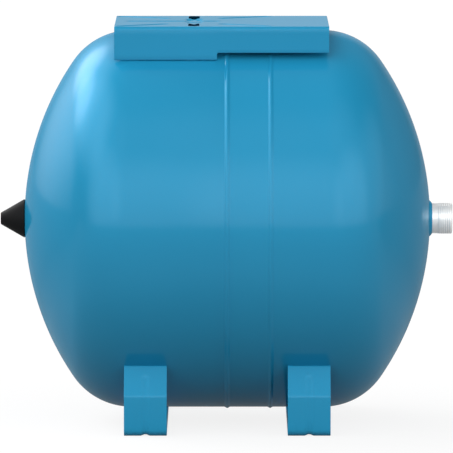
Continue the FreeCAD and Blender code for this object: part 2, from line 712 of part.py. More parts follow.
def foot(side):
    """One strap, folded four times, with a groove pressed down its middle and coped to the tank."""
    path = foot_path()
    back = offset_points(path, FOOT_SHEET)
    bend = FOOT_BEND_RADIUS
    edges = rounded_edges(path, [bend] * 4) + rounded_edges(back, [bend - FOOT_SHEET] * 4)
    edges += [line(path[0], back[0]), line(path[-1], back[-1])]
    centre = side * foot_centre()
    start = centre - FOOT_WIDTH / 2
    strap = on_end_plane(edges, start, FOOT_WIDTH)
    behind = on_end_plane(rounded_edges(path, [bend] * 4) + [line(path[0], path[-1])], start, FOOT_WIDTH)
    rise = FOOT_GROOVE_RADIUS - FOOT_GROOVE_DEPTH
    groove = offset_points(path, -rise)
    groove[0] = groove[0] + (groove[1] - groove[0]) * FOOT_GROOVE_START
    groove[-1] = groove[-1] + (groove[-2] - groove[-1]) * FOOT_GROOVE_START
    line_of_groove = [Vector(centre, p.x, p.y) for p in groove]
    face = round_bar(line_of_groove, bend + rise, FOOT_GROOVE_RADIUS)
    ridge = round_bar(line_of_groove, bend + rise, FOOT_GROOVE_RADIUS + FOOT_SHEET)
    return pressed(strap, behind, [(face, ridge)]).cut(tank_envelope(LIP_CLEARANCE))


def foot_centre():
    """How far each foot's middle is from the tank's middle."""
    return tangent + FOOT_OVERHANG - FOOT_WIDTH / 2


def stitches(corner, along_sheet, along_tank, start, pitch, count):
    """A row of short fillet welds in a corner of the (y, z) plane, trimmed to the tank."""
    a = corner + along_sheet.normalize() * STITCH_LEG
    b = corner + along_tank.normalize() * STITCH_LEG
    sunk = corner - along_sheet.normalize() * STITCH_LEG / 2
    sunk_b = b - along_sheet.normalize() * STITCH_LEG / 2
    edges = [line(a, b), line(b, sunk_b), line(sunk_b, sunk), line(sunk, a)]
    envelope = tank_envelope(0)
    length = STITCH_SHARE * pitch
    starts = [start + pitch * i + (pitch - length) / 2 for i in range(count)]
    return [on_end_plane(edges, x, length).cut(envelope) for x in starts]


def console_welds():
    """Stitches inside the long skirts, front and rear, where they stand on the cylinder."""
    top, seat, relief = console_levels()
    inner = CONSOLE_DEPTH / 2 - CONSOLE_SHEET
    start = max(CONSOLE_END - CONSOLE_LENGTH, -tangent)
    end = -WELD_BEAD_WIDTH / 2 - SKIRT_STEP_GAP
    pitch = (end - start) / CONSOLE_STITCHES
    beads = []
    for side in (-1, 1):
        corner = Vector(side * inner, seat - SKIRT_SEAT, 0)
        inward = Vector(-side * corner.y, abs(corner.x), 0)
        beads += stitches(corner, Vector(0, 1, 0), inward, start, pitch, CONSOLE_STITCHES)
    return Part.makeCompound(beads)


def foot_welds():
    """Stitches under the tank, along the inner face of each lip."""
    path = foot_path()
    back = offset_points(path, FOOT_SHEET)
    up = (back[0] - back[1]).normalize()
    reach = back[1].dot(up)
    to_tank = -reach - math.sqrt(reach ** 2 + tank_radius ** 2 - back[1].dot(back[1]))
    beads = []
    pitch = FOOT_WIDTH / FOOT_STITCHES
    for side in (-1, 1):
        corner = back[1] + up * to_tank
        down = -up
        round_tank = Vector(corner.y, -corner.x, 0)
        if side < 0:
            corner, down, round_tank = [Vector(-v.x, v.y, 0) for v in (corner, down, round_tank)]
        for foot_side in (-1, 1):
            start = foot_side * foot_centre() - FOOT_WIDTH / 2
            beads += stitches(corner, down, round_tank, start, pitch, FOOT_STITCHES)
    return Part.makeCompound(beads)


NODES = {
    "gas_side_shell": gas_side_shell,
    "water_side_shell": water_side_shell,
    "girth_weld": girth_weld,
    "diaphragm": diaphragm,
    "diaphragm_clamp_ring": diaphragm_clamp_ring,
    "water_nozzle": water_nozzle,
    "nozzle_weld": nozzle_weld,
    "nozzle_grid": nozzle_grid,
    "valve_stem": valve_stem,
    "valve_weld": valve_weld,
    "valve_core_body": valve_core_body,
    "valve_core_packing": valve_core_packing,
    "valve_pin": valve_pin,
    "valve_pin_seal": valve_pin_seal,
    "valve_spring": valve_spring,
    "valve_cap": valve_cap,
    "pump_console": pump_console,
    "console_welds": console_welds,
    "gas_side_foot": lambda: foot(-1),
    "water_side_foot": lambda: foot(1),
    "foot_welds": foot_welds,
}

os.makedirs("parts", exist_ok=True)
for node, build in NODES.items():
    shape = build()
    shape.translate(Vector(middle_x, 0, axis_height))
    shape.exportStep(f"parts/{node}.step")
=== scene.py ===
import json
import math

import bmesh
import bpy
from mathutils import Matrix, Vector


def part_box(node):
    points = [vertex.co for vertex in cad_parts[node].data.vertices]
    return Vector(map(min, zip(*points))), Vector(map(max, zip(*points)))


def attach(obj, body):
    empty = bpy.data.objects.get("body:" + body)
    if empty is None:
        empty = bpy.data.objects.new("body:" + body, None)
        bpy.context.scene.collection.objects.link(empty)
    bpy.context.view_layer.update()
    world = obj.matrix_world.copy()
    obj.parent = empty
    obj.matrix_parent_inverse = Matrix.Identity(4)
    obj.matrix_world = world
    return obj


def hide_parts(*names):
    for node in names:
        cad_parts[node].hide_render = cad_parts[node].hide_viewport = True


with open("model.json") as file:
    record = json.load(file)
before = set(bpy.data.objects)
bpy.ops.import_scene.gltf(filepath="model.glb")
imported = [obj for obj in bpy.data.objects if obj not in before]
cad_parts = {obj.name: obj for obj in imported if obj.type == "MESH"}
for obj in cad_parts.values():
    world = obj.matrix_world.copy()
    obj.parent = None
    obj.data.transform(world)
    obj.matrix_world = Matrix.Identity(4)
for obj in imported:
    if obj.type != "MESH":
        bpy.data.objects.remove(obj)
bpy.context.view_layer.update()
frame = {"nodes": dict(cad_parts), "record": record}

# Sizes in metres about the tank's axis and middle. The main ones are the part's own. The ridges, the
# outside of the pipe connection and the pressed grooves are shaped a little differently here.
MM = 0.001
TANK_RADIUS = 204.5 * MM
HEAD_APEX = 220.0 * MM
CROWN_RADIUS = 303.0 * MM
KNUCKLE_RADIUS = 76.0 * MM
SHELL_WALL = 1.5 * MM
RIDGE_WIDTH = 6.8 * MM
WELD_HEIGHT = 1.45 * MM
ROLLED_HEIGHT = 1.35 * MM
ROLLED_OFFSET = 46.5 * MM
LAP_START = -1.5 * MM
LAP_END = 2.0 * MM
LAP_LENGTH = 12.0 * MM
LAP_GAP = 0.05 * MM
WELD_ROOT = 0.2 * MM
GAS_HOLE = 6.05 * MM
WATER_HOLE = 15.05 * MM

THREAD_PITCH = 2.309 * MM
THREAD_DEPTH = 0.22 * MM
THREAD_FLATTENING = 1.35
THREAD_RUN_IN = 1.2 * THREAD_PITCH
NOZZLE_SHANK = 15.0 * MM
NOZZLE_BORE = 12.5 * MM
BORE_CHAMFER = 0.8 * MM
GRID_GAP = 0.02 * MM
NOZZLE_NECK = 16.2 * MM
NOZZLE_NECK_END = 7.6 * MM
NOZZLE_CHAMFER = 1.2 * MM
COLLAR_ROOT = 1.4 * MM
COLLAR_DEPTH = 3.0 * MM
COLLAR_LET_IN = 0.1 * MM
# The weld collar's hollow flank in mm: distance behind its face, and radius
COLLAR_FLANK = ((0, 16.3), (0.12, 16.6), (0.5, 17.1), (1.1, 17.9), (1.9, 18.8))

# The rounding of the folded sheets' cut edges
EDGE_ROUND = 0.45 * MM

CONSOLE_SHEET = 2.5 * MM
CONSOLE_BEND = 4.0 * MM
SLOT_WIDTH = 12.0 * MM
SLOT_LENGTH = 48.0 * MM
SLOT_SPACING = 136.0 * MM
SLOT_CENTRE = -36.0 * MM
SKIRT_RELIEF = 7.5 * MM
SKIRT_STEP = -11.0 * MM
SKIRT_CORNER = 2.0 * MM
SLOT_CUT_BELOW = 9 * MM
SLOT_CUT_ABOVE = 3 * MM
# Grooves pressed into the top, from the middle of the slots: half width, flank and depth, then the ends.
# The arm is repeated in all four quarters.
ARM_FORM = (6.4 * MM, 4.4 * MM, 2.2 * MM)
ARM_ENDS = (Vector((32, 53)) * MM, Vector((78, 88)) * MM)
RIB_ENDS = (Vector((-67, 0)) * MM, Vector((23, 0)) * MM)
SADDLE_FORM = (10.5 * MM, 4.0 * MM, 1.4 * MM)
SADDLE_ENDS = (Vector((0, -36)) * MM, Vector((0, 36)) * MM)

FOOT_SHEET = 2.5 * MM
FOOT_BEND = 6.5 * MM
LIP_ANGLE = math.radians(45.4)
LIP_LENGTH = 35.7 * MM
LIP_LEAN = math.radians(27.1)
LIP_CLEARANCE = 0.1 * MM
# The foot's groove: half width, flank and depth, where it starts on the lip as a share of the lip's length,
# and the share of the depth that is left above the bend at the floor
FOOT_GROOVE = (5.4 * MM, 4.8 * MM, 1.5 * MM)
FOOT_GROOVE_START = 0.43
FOOT_GROOVE_SHARE = 0.35

CAP_WALL = 2.0 * MM
CAP_TIP = 6.2 * MM
CAP_TIP_ROUND = 1.4 * MM
CAP_BASE_ROUND = 0.8 * MM
CAP_RIM = 1.2 * MM
# The hub's mouth, the bottom of its bore and the ribs' feet are measured from the head's apex. The ribs
# start a gap below the cap's end wall and leave a clear radius at their feet.
HUB_MOUTH = 9.0 * MM
HUB_BOTTOM = 20.0 * MM
HUB_BORE = 3.9 * MM
HUB_WALL = 1.8 * MM
CAP_RIBS = 6
CAP_RIB_FOOT = 4.0 * MM
CAP_RIB_HALF = 0.6 * MM
CAP_RIB_LET_IN = 0.4 * MM
CAP_RIB_GAP = 0.1 * MM
CAP_RIB_CLEAR = 9.7 * MM

# How finely the curves and sheets are divided
TANK_SEGMENTS = 288
KNUCKLE_STEPS = 34
CROWN_STEPS = 44
RIDGE_STEPS = 16
NOZZLE_SEGMENTS = 128
THREAD_STEPS = 120
SMALL_SEGMENTS = 96
CAP_BASE_STEPS = 5
CAP_TIP_STEPS = 7
BEND_STEPS = 8
SLOT_STEPS = 16
CONSOLE_SPACING = 1.5 * MM
SKIRT_SPACING = 6 * MM
SKIRT_STEP_STATIONS = (0, 0.02, 0.3, 1.0, 2.0)
FOOT_SPACING = 0.9 * MM
FOOT_RUN_SPACINGS = (1.6 * MM, 4 * MM, 8 * MM, 4 * MM, 1.6 * MM)
EDGE_ANGLES = (45, 90)

# Straight runs of the folded sheets, as fold_stations counts them
SKIRT_RUNS = (0, 2)
TOP_RUN = 1
LIP_RUNS = (0, 4)

weld_low, weld_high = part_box("girth_weld")
MIDDLE = Vector(((weld_low.x + weld_high.x) / 2, 0, (weld_low.z + weld_high.z) / 2))
FLOOR_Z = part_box("gas_side_foot")[0].z - MIDDLE.z
TANGENT = HEAD_APEX - CROWN_RADIUS + math.sqrt(
    (CROWN_RADIUS - KNUCKLE_RADIUS) ** 2 - (TANK_RADIUS - KNUCKLE_RADIUS) ** 2
)


# Mesh helpers


def new_object(name, bm):
    """Turns a finished bmesh into an object in the scene."""
    mesh = bpy.data.meshes.new(name)
    bm.to_mesh(mesh)
    bm.free()
    obj = bpy.data.objects.new(name, mesh)
    bpy.context.scene.collection.objects.link(obj)
    return obj


def add_object(name, bm, body, material, replaced, sharp=35):
    """Adds a piece that was made about the tank's middle, hangs it on its body and hides the parts it
    replaces.
    """
    bmesh.ops.recalc_face_normals(bm, faces=bm.faces)
    obj = new_object(name, bm)
    obj.data.transform(Matrix.Translation(MIDDLE))
    finish_shading(obj, sharp)
    obj.data.materials.append(material)
    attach(obj, body)
    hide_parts(*replaced)
    return obj


def finish_shading(obj, sharp):
    """Smooth shading with sharp edges from this angle in degrees."""
    obj.data.shade_smooth()
    obj.data.set_sharp_from_angle(angle=math.radians(sharp))


def bridge(bm, a, b):
    """Faces between two closed rings of vertices, where a ring may be a single pole."""
    count = max(len(a), len(b))
    for i in range(count):
        j = (i + 1) % count
        if len(a) == 1:
            bm.faces.new((a[0], b[i], b[j]))
        elif len(b) == 1:
            bm.faces.new((a[i], a[j], b[0]))
        else:
            bm.faces.new((a[i], a[j], b[j], b[i]))


def bridge_all(bm, rings):
    """Faces from each ring to the next, and from the last one back to the first."""
    for a, b in zip(rings, rings[1:] + rings[:1]):
        if len(a) > 1 or len(b) > 1:
            bridge(bm, a, b)


def ring_at(bm, x, radii):
    """A ring of vertices round the X axis, with a radius for each."""
    ring = []
    for i, radius in enumerate(radii):
        angle = 2 * math.pi * i / len(radii)
        ring.append(bm.verts.new((x, radius * math.cos(angle), radius * math.sin(angle))))
    return ring


def turned(outline, segments):
    """A closed outline of (x, radius) turned round the X axis, where radius 0 gives a pole."""
    bm = bmesh.new()
    rings = []
    for x, radius in outline:
        rings.append(ring_at(bm, x, [radius] * segments) if radius else [bm.verts.new((x, 0, 0))])
    bridge_all(bm, rings)
    return bm


def arc_points(centre, radius, start, end, steps):
    """Points of an arc in the (x, radius) half plane, angles in radians from +X."""
    angles = (start + (end - start) * i / steps for i in range(steps + 1))
    return [(centre[0] + radius * math.cos(a), centre[1] + radius * math.sin(a)) for a in angles]


# Tank


def head(inset, hole):
    """The knuckle and crown on the water side, from the cylinder in to the hole's edge."""
    centre = (TANGENT, TANK_RADIUS - KNUCKLE_RADIUS)
    crown_x = HEAD_APEX - CROWN_RADIUS
    lean = math.atan2(centre[1], TANGENT - crown_x)
    knuckle = arc_points(centre, KNUCKLE_RADIUS - inset, math.pi / 2, lean, KNUCKLE_STEPS)
    radius = CROWN_RADIUS - inset
    crown = arc_points((crown_x, 0), radius, lean, math.asin(hole / radius), CROWN_STEPS)
    return knuckle + crown[1:]


def ridge(x, height):
    """A low rounded ridge on the cylinder, with soft feet."""
    points = []
    for i in range(RIDGE_STEPS + 1):
        offset = RIDGE_WIDTH * (i / RIDGE_STEPS - 0.5)
        rise = height * (0.5 + 0.5 * math.cos(2 * math.pi * offset / RIDGE_WIDTH))
        points.append((x + offset, TANK_RADIUS + rise))
    return points


def groove_behind(x, height):
    """The inner face of the rolled ridge, one wall behind its outer face."""
    return [(px, radius - SHELL_WALL) for px, radius in ridge(x, height)]


def mirrored(points):
    """The same points on the gas side."""
    return [(-x, radius) for x, radius in points]


def make_water_half(paint):
    """The half with the rolled ridge and the pipe connection's hole."""
    outer = [(LAP_END, TANK_RADIUS)] + ridge(ROLLED_OFFSET, ROLLED_HEIGHT) + head(0, WATER_HOLE)
    inner = head(SHELL_WALL, WATER_HOLE)[::-1] + groove_behind(ROLLED_OFFSET, ROLLED_HEIGHT)[::-1]
    inner += [(LAP_END, TANK_RADIUS - SHELL_WALL)]
    bm = turned(outer + inner, TANK_SEGMENTS)
    add_object("water_half", bm, "tank", paint, ["water_side_shell"])


def make_gas_half(paint):
    """The half whose edge is drawn in to lie inside the other's, with the valve's hole."""
    inside = TANK_RADIUS - SHELL_WALL
    lap = inside - LAP_GAP
    outer = [(LAP_LENGTH, lap), (LAP_END, lap), (LAP_START, TANK_RADIUS)] + mirrored(head(0, GAS_HOLE))
    inner = mirrored(head(SHELL_WALL, GAS_HOLE))[::-1]
    inner += [(LAP_START, inside), (LAP_END, lap - SHELL_WALL), (LAP_LENGTH, lap - SHELL_WALL)]
    bm = turned(outer + inner, TANK_SEGMENTS)
    add_object("gas_half", bm, "tank", paint, ["gas_side_shell"])


def make_middle_weld(paint):
    """The weld bead round the joint of the two halves."""
    half, root = RIDGE_WIDTH / 2, TANK_RADIUS - WELD_ROOT
    bm = turned(ridge(0, WELD_HEIGHT) + [(half, root), (-half, root)], TANK_SEGMENTS)
    add_object("middle_weld", bm, "tank", paint, ["girth_weld"])


# Water connection


def make_nozzle(steel):
    """Shank, neck, thread, bore and the wider seat of the grid, turned as one."""
    low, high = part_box("water_nozzle")
    start, tip = low.x - MIDDLE.x, high.x - MIDDLE.x
    crest = (high.z - low.z) / 2
    grid_low, grid_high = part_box("nozzle_grid")
    seat_end = grid_high.x - MIDDLE.x
    seat = (grid_high.z - grid_low.z) / 2 + GRID_GAP
    thread_start = HEAD_APEX + NOZZLE_NECK_END
    outer = [(start, seat), (start, NOZZLE_SHANK), (HEAD_APEX, NOZZLE_SHANK), (HEAD_APEX, NOZZLE_NECK)]
    outer += [(thread_start, NOZZLE_NECK)]
    inner = [(tip, NOZZLE_BORE + BORE_CHAMFER), (tip - BORE_CHAMFER, NOZZLE_BORE)]
    inner += [(seat_end, NOZZLE_BORE), (seat_end, seat)]
    bm = bmesh.new()
    rings = [ring_at(bm, x, [radius] * NOZZLE_SEGMENTS) for x, radius in outer]
    for i in range(1, THREAD_STEPS + 1):
        x = thread_start + (tip - thread_start) * i / THREAD_STEPS
        angles = (2 * math.pi * k / NOZZLE_SEGMENTS for k in range(NOZZLE_SEGMENTS))
        rings.append(ring_at(bm, x, [thread_radius(x, a, crest, thread_start, tip) for a in angles]))
    rings += [ring_at(bm, x, [radius] * NOZZLE_SEGMENTS) for x, radius in inner]
    bridge_all(bm, rings)
    add_object("pipe_connection", bm, "tank", steel, ["water_nozzle"], sharp=50)


def make_nozzle_weld(paint):
    """The painted weld collar, hollow towards the neck."""
    low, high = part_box("nozzle_weld")
    face = high.x - MIDDLE.x
    widest = (high.z - low.z) / 2
    root, bore = HEAD_APEX - COLLAR_ROOT, NOZZLE_NECK - COLLAR_LET_IN
    flank = [(face - behind * MM, radius * MM) for behind, radius in COLLAR_FLANK]
    outline = [(root, bore), (face, bore)] + flank + [(face - COLLAR_DEPTH, widest), (root, widest)]
    bm = turned(outline, SMALL_SEGMENTS)
    add_object("connection_weld", bm, "tank", paint, ["nozzle_weld"], sharp=60)


def thread_radius(x, angle, crest, start, tip):
    """A rounded helical thread that runs out into the neck and is chamfered at the tip."""
    phase = (x - start) / THREAD_PITCH - angle / (2 * math.pi)
    wave = 0.5 - 0.5 * math.cos(2 * math.pi * phase)
    flat = min(1.0, wave * THREAD_FLATTENING)
    full = crest - THREAD_DEPTH * (1 - flat)
    run_in = min(1.0, (x - start) / THREAD_RUN_IN)
    full = NOZZLE_NECK + (full - NOZZLE_NECK) * run_in
    limit = crest - NOZZLE_CHAMFER + (tip - x)
    return min(full, limit)


# Valve cap


def make_cap(plastic):
    """A hollow cone, closed at its tip, with a hub for the valve stem and ribs inside."""
    low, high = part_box("valve_cap")
    base, tip = high.x - MIDDLE.x, low.x - MIDDLE.x
    wide = (high.z - low.z) / 2
    rim = base - CAP_RIM
    slope = (wide - CAP_TIP) / (rim - tip)
    lean = math.atan(slope)
    side = CAP_WALL / math.cos(lean)
    edge = (base - CAP_BASE_ROUND, wide - CAP_BASE_ROUND)
    nose = (tip + CAP_TIP_ROUND, CAP_TIP - CAP_TIP_ROUND * math.tan((math.pi / 2 - lean) / 2))
    outline = [(base, wide - side), (base, wide - CAP_BASE_ROUND)]
    outline += arc_points(edge, CAP_BASE_ROUND, 0, math.pi / 2, CAP_BASE_STEPS)[1:] + [(rim, wide)]
    outline += arc_points(nose, CAP_TIP_ROUND, math.pi / 2 + lean, math.pi, CAP_TIP_STEPS) + [(tip, 0)]
    roof = tip + CAP_WALL
    mouth, bottom = -HEAD_APEX - HUB_MOUTH, -HEAD_APEX - HUB_BOTTOM
    hub = HUB_BORE + HUB_WALL
    inside = [(bottom, 0), (bottom, HUB_BORE), (mouth, HUB_BORE), (mouth, hub), (roof, hub)]
    inside += [(roof, CAP_TIP + slope * CAP_WALL - side), (rim, wide - side)]
    bm = turned(outline + inside, SMALL_SEGMENTS)

    def let_in_cone(x):
        """Radius in the cone's wall to which a rib reaches."""
        return wide - side - slope * (rim - x) + CAP_RIB_LET_IN

    let_in_hub = hub - CAP_RIB_LET_IN
    top, foot = roof + CAP_RIB_GAP, -HEAD_APEX - CAP_RIB_FOOT
    rib = [(top, let_in_hub), (mouth, let_in_hub), (mouth, CAP_RIB_CLEAR), (foot, CAP_RIB_CLEAR)]
    rib += [(foot, let_in_cone(foot)), (top, max(let_in_cone(roof), hub))]
    for i in range(CAP_RIBS):
        add_rib(bm, rib, 2 * math.pi * i / CAP_RIBS)
    add_object("cone_cap", bm, "cap", plastic, ["valve_cap"], sharp=50)


def add_rib(bm, outline, angle):
    """A thin rib with this outline of (x, radius), standing at an angle round the X axis."""
    rings = []
    for s in (-CAP_RIB_HALF, CAP_RIB_HALF):
        ring = []
        for x, radius in outline:
            y = radius * math.cos(angle) - s * math.sin(angle)
            z = radius * math.sin(angle) + s * math.cos(angle)
            ring.append(bm.verts.new((x, y, z)))
        rings.append(ring)
    bm.faces.new(rings[0])
    bm.faces.new(rings[1][::-1])
    bridge(bm, rings[0], rings[1])


# Folded sheets


def left_of(v):
    """A flat vector turned a quarter to the left."""
    return Vector((-v.y, v.x))


def fold_stations(points, bend, spacing):
    """Stations along a line of (y, z) points with right-hand bends, as (point, outward normal, run).

    The runs are the straight stretches, counted from 0, each with its own spacing; a bend's run is -1.
    """
    stations = []
    cursor = points[0]
    for i in range(1, len(points)):
        u = (points[i] - points[i - 1]).normalized()
        end = points[i]
        if i + 1 < len(points):
            w = (points[i + 1] - points[i]).normalized()
            turn = u.angle(w)
            reach = bend * math.tan(turn / 2)
            end = points[i] - u * reach
        length = (end - cursor).length
        count = max(1, math.ceil(length / spacing[i - 1]))
        for k in range(count):
            stations.append((cursor + u * (length * k / count), left_of(u), i - 1))
        if i + 1 < len(points):
            centre = end - left_of(u) * bend
            for k in range(BEND_STEPS):
                normal = left_of(u)
                normal.rotate(Matrix.Rotation(-turn * k / BEND_STEPS, 2))
                stations.append((centre + normal * bend, normal, -1))
            cursor = points[i] + w * reach
        else:
            stations.append((end, left_of(u), i - 1))
    return stations


def rim_of(rows, cols):
    """The places (row, column) once round the edge of a grid."""
    rim = [(0, j) for j in range(cols)] + [(i, cols - 1) for i in range(1, rows)]
    return rim + [(rows - 1, j) for j in range(cols - 2, -1, -1)] + [(i, 0) for i in range(rows - 2, 0, -1)]


def outward(grid, i, j):
    """The way out of the sheet at a place on its rim."""
    rows, cols = len(grid), len(grid[0])
    way = Vector()
    if i in (0, rows - 1):
        way += (grid[i][j] - grid[1 if i == 0 else rows - 2][j]).normalized()
    if j in (0, cols - 1):
        way += (grid[i][j] - grid[i][1 if j == 0 else cols - 2]).normalized()
    return way


def sheet_mesh(outer, inner):
    """A closed sheet between two grids of points, its whole edge rounded over."""
    bm = bmesh.new()
    rows, cols = len(outer), len(outer[0])
    rim = rim_of(rows, cols)
    away = {(i, j): outward(outer, i, j) for i, j in rim}
    faces = []
    for grid in (outer, inner):
        verts = [[bm.verts.new(p) for p in row] for row in grid]
        for i, j in rim:
            verts[i][j].co -= away[i, j] * EDGE_ROUND
        for i in range(rows - 1):
            for j in range(cols - 1):
                bm.faces.new((verts[i][j], verts[i + 1][j], verts[i + 1][j + 1], verts[i][j + 1]))
        faces.append(verts)
    rings = [[faces[0][i][j] for i, j in rim]]
    for near, far, angles in ((outer, inner, EDGE_ANGLES), (inner, outer, EDGE_ANGLES[::-1])):
        for angle in angles:
            back = EDGE_ROUND * (1 - math.sin(math.radians(angle)))
            sunk = EDGE_ROUND * (1 - math.cos(math.radians(angle)))
            ring = []
            for i, j in rim:
                through = (far[i][j] - near[i][j]).normalized()
                ring.append(bm.verts.new(near[i][j] - away[i, j] * back + through * sunk))
            rings.append(ring)
    rings.append([faces[1][i][j] for i, j in rim])
    for a, b in zip(rings, rings[1:]):
        bridge(bm, a, b)
    return bm


def pressed(distance, form):
    """Depth of a pressed groove at this distance from its middle line: form is (half width, flank, depth)."""
    half, flank, depth = form
    t = min(1.0, max(0.0, (half - distance) / flank))
    return depth * t * t * (3 - 2 * t)


def to_segment(p, a, b):
    """Distance of a point from the segment between two others."""
    along = max(0.0, min(1.0, (p - a).dot(b - a) / (b - a).length_squared))
    return (p - a - (b - a) * along).length


def spread(low, high, spacing):
    """Even stations from low to high, no further apart than the spacing."""
    count = max(1, math.ceil((high - low) / spacing))
    return [low + (high - low) * i / count for i in range(count + 1)]


# Pump console


def console_depth(x, y):
    """How far the console's top is pressed in at a point, from the middle of the slots."""
    point = Vector((x, y))
    arm = pressed(to_segment(Vector((abs(x), abs(y))), *ARM_ENDS), ARM_FORM)
    rib = pressed(to_segment(point, *RIB_ENDS), ARM_FORM)
    saddle = pressed(to_segment(point, *SADDLE_ENDS), SADDLE_FORM)
    return max(arm, rib, saddle)


def skirt_foot(x, seat):
    """Height of the skirts' lower edge, with the rounded step."""
    relief = seat + SKIRT_RELIEF
    if x <= SKIRT_STEP:
        return seat
    into = SKIRT_STEP + SKIRT_CORNER - x
    if into <= 0:
        return relief
    return relief - SKIRT_CORNER + math.sqrt(SKIRT_CORNER ** 2 - into ** 2)


def make_console(paint, painted_shade):
    """A sheet with a top and two skirts, pressed grooves and two slots."""
    low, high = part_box("pump_console")
    low, high = low - MIDDLE, high - MIDDLE
    half, top, seat = (high.y - low.y) / 2, high.z, low.z
    fold = [Vector(p) for p in ((-half, seat), (-half, top), (half, top), (half, seat))]
    stations = fold_stations(fold, CONSOLE_BEND, (SKIRT_SPACING, CONSOLE_SPACING, SKIRT_SPACING))
    step = [SKIRT_STEP + beyond * MM for beyond in SKIRT_STEP_STATIONS]
    before = spread(low.x, SKIRT_STEP, CONSOLE_SPACING)[:-1]
    after = spread(step[-1], high.x, CONSOLE_SPACING)[1:]
    outer, inner = [], []
    for x in before + step + after:
        foot_z = skirt_foot(x, seat)
        outer_row, inner_row = [], []
        for point, normal, run in stations:
            p = point.copy()
            if run in SKIRT_RUNS:
                share = (top - p.y) / (top - seat)
                p.y = top - (top - foot_z) * share
            depth = console_depth(x - SLOT_CENTRE, p.x) if run == TOP_RUN else 0.0
            p -= normal * depth
            outer_row.append(Vector((x, p.x, p.y)))
            q = p - normal * CONSOLE_SHEET
            inner_row.append(Vector((x, q.x, q.y)))
        outer.append(outer_row)
        inner.append(inner_row)
    bm = sheet_mesh(outer, inner)
    console = add_object("console", bm, "tank", paint, ["pump_console"], sharp=40)
    for side in (-1, 1):
        cut_slot(console, side * SLOT_SPACING / 2, top, painted_shade)
    finish_shading(console, 40)


def slot_cutter(y, top, painted_shade):
    """An upright round-ended bar in the place of a slot, which leaves its painted-shade material on the cut
    walls.
    """
    bm = bmesh.new()
    radius = SLOT_WIDTH / 2
    reach = (SLOT_LENGTH - SLOT_WIDTH) / 2
    rings = []
    for z in (top - SLOT_CUT_BELOW, top + SLOT_CUT_ABOVE):
        ring = []
        for end, start in ((reach, 0), (-reach, math.pi)):
            for i in range(SLOT_STEPS + 1):
                a = math.pi * i / SLOT_STEPS + start
                place = (SLOT_CENTRE + radius * math.cos(a), y + end + radius * math.sin(a), z)
                ring.append(bm.verts.new(place))
        rings.append(ring)
    bridge(bm, rings[0], rings[1])
    bm.faces.new(rings[0])
    bm.faces.new(rings[1])
    bmesh.ops.recalc_face_normals(bm, faces=bm.faces)
    cutter = new_object("slot_cutter", bm)
    cutter.data.transform(Matrix.Translation(MIDDLE))
    cutter.data.materials.append(painted_shade)
    return cutter


def cut_slot(console, y, top, painted_shade):
    """Cuts a round-ended slot through the console's top, whose walls get the painted shade."""
    cutter = slot_cutter(y, top, painted_shade)
    cut = console.modifiers.new("cut", "BOOLEAN")
    cut.operation = "DIFFERENCE"
    cut.solver = "EXACT"
    cut.material_mode = "TRANSFER"
    cut.object = cutter
    depsgraph = bpy.context.evaluated_depsgraph_get()
    result = bpy.data.meshes.new_from_object(console.evaluated_get(depsgraph))
    console.modifiers.clear()
    used = (console.data, cutter.data)
    console.data = result
    bpy.data.objects.remove(cutter)
    for mesh in used:
        bpy.data.meshes.remove(mesh)


# Feet


def tank_radius_at(x):
    """Outer radius of the tank at this distance from its middle."""
    beyond = abs(x) - TANGENT
    if beyond <= 0:
        return TANK_RADIUS
    return TANK_RADIUS - KNUCKLE_RADIUS + math.sqrt(KNUCKLE_RADIUS ** 2 - beyond ** 2)


def reach_to_tank(point, up, radius):
    """How far to go from a point along `up` to meet a circle round the tank's axis."""
    along = point.dot(up)
    return -along - math.sqrt(along ** 2 + radius ** 2 - point.length_squared)


def make_foot(name, node, paint):
    """A strap folded four times, with lips that reach up to the tank and a groove along its middle."""
    low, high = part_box(node)
    low, high = low - MIDDLE, high - MIDDLE
    centre = (low.x + high.x) / 2
    tip = Vector((math.cos(LIP_ANGLE), -math.sin(LIP_ANGLE))) * TANK_RADIUS
    down = Vector((math.sin(LIP_LEAN), -math.cos(LIP_LEAN)))
    bend = tip + down * LIP_LENGTH
    right = [tip, bend, Vector((bend.x, FLOOR_Z))]
    fold = right + [Vector((-p.x, p.y)) for p in right[::-1]]
    stations = fold_stations(fold, FOOT_BEND, FOOT_RUN_SPACINGS)
    lip = LIP_LENGTH - FOOT_BEND * math.tan(LIP_LEAN / 2)
    groove_start = LIP_LENGTH * FOOT_GROOVE_START
    outer, inner = [], []
    for x in spread(low.x, high.x, FOOT_SPACING):
        radius = tank_radius_at(x) + LIP_CLEARANCE
        outer_row, inner_row = [], []
        for point, normal, run in stations:
            side = -1 if run == LIP_RUNS[1] else 1
            up = Vector((-side * down.x, -down.y))
            end_out = Vector((side * tip.x, tip.y))
            on_lip = run in LIP_RUNS
            far = (point - end_out).length if on_lip else groove_start
            before = max(0.0, groove_start - far)
            depth = pressed(math.hypot(x - centre, before), FOOT_GROOVE)
            above = (point.y - FLOOR_Z) / (2 * FOOT_BEND)
            depth *= 1 - (1 - FOOT_GROOVE_SHARE) * min(1.0, above)
            p = point - normal * depth
            q = p - normal * FOOT_SHEET
            if on_lip:
                share = 1 - far / lip
                end_in = end_out - normal * FOOT_SHEET
                p += up * (reach_to_tank(end_out, up, radius) * share)
                q += up * (reach_to_tank(end_in, up, radius) * share)
            outer_row.append(Vector((x, p.x, p.y)))
            inner_row.append(Vector((x, q.x, q.y)))
        outer.append(outer_row)
        inner.append(inner_row)
    add_object(name, sheet_mesh(outer, inner), "tank", paint, [node], sharp=40)


# Materials

PAINT_COLOURS = ((0.012, 0.245, 0.438), (0.014, 0.257, 0.456))
PAINT_METALLIC = 0.15
PAINT_EDGE_TINT = (0.02, 0.75, 0.95)
PAINT_COAT = 0.42
PAINT_COAT_ROUGHNESS = 0.12
PAINT_COAT_IOR = 1.5


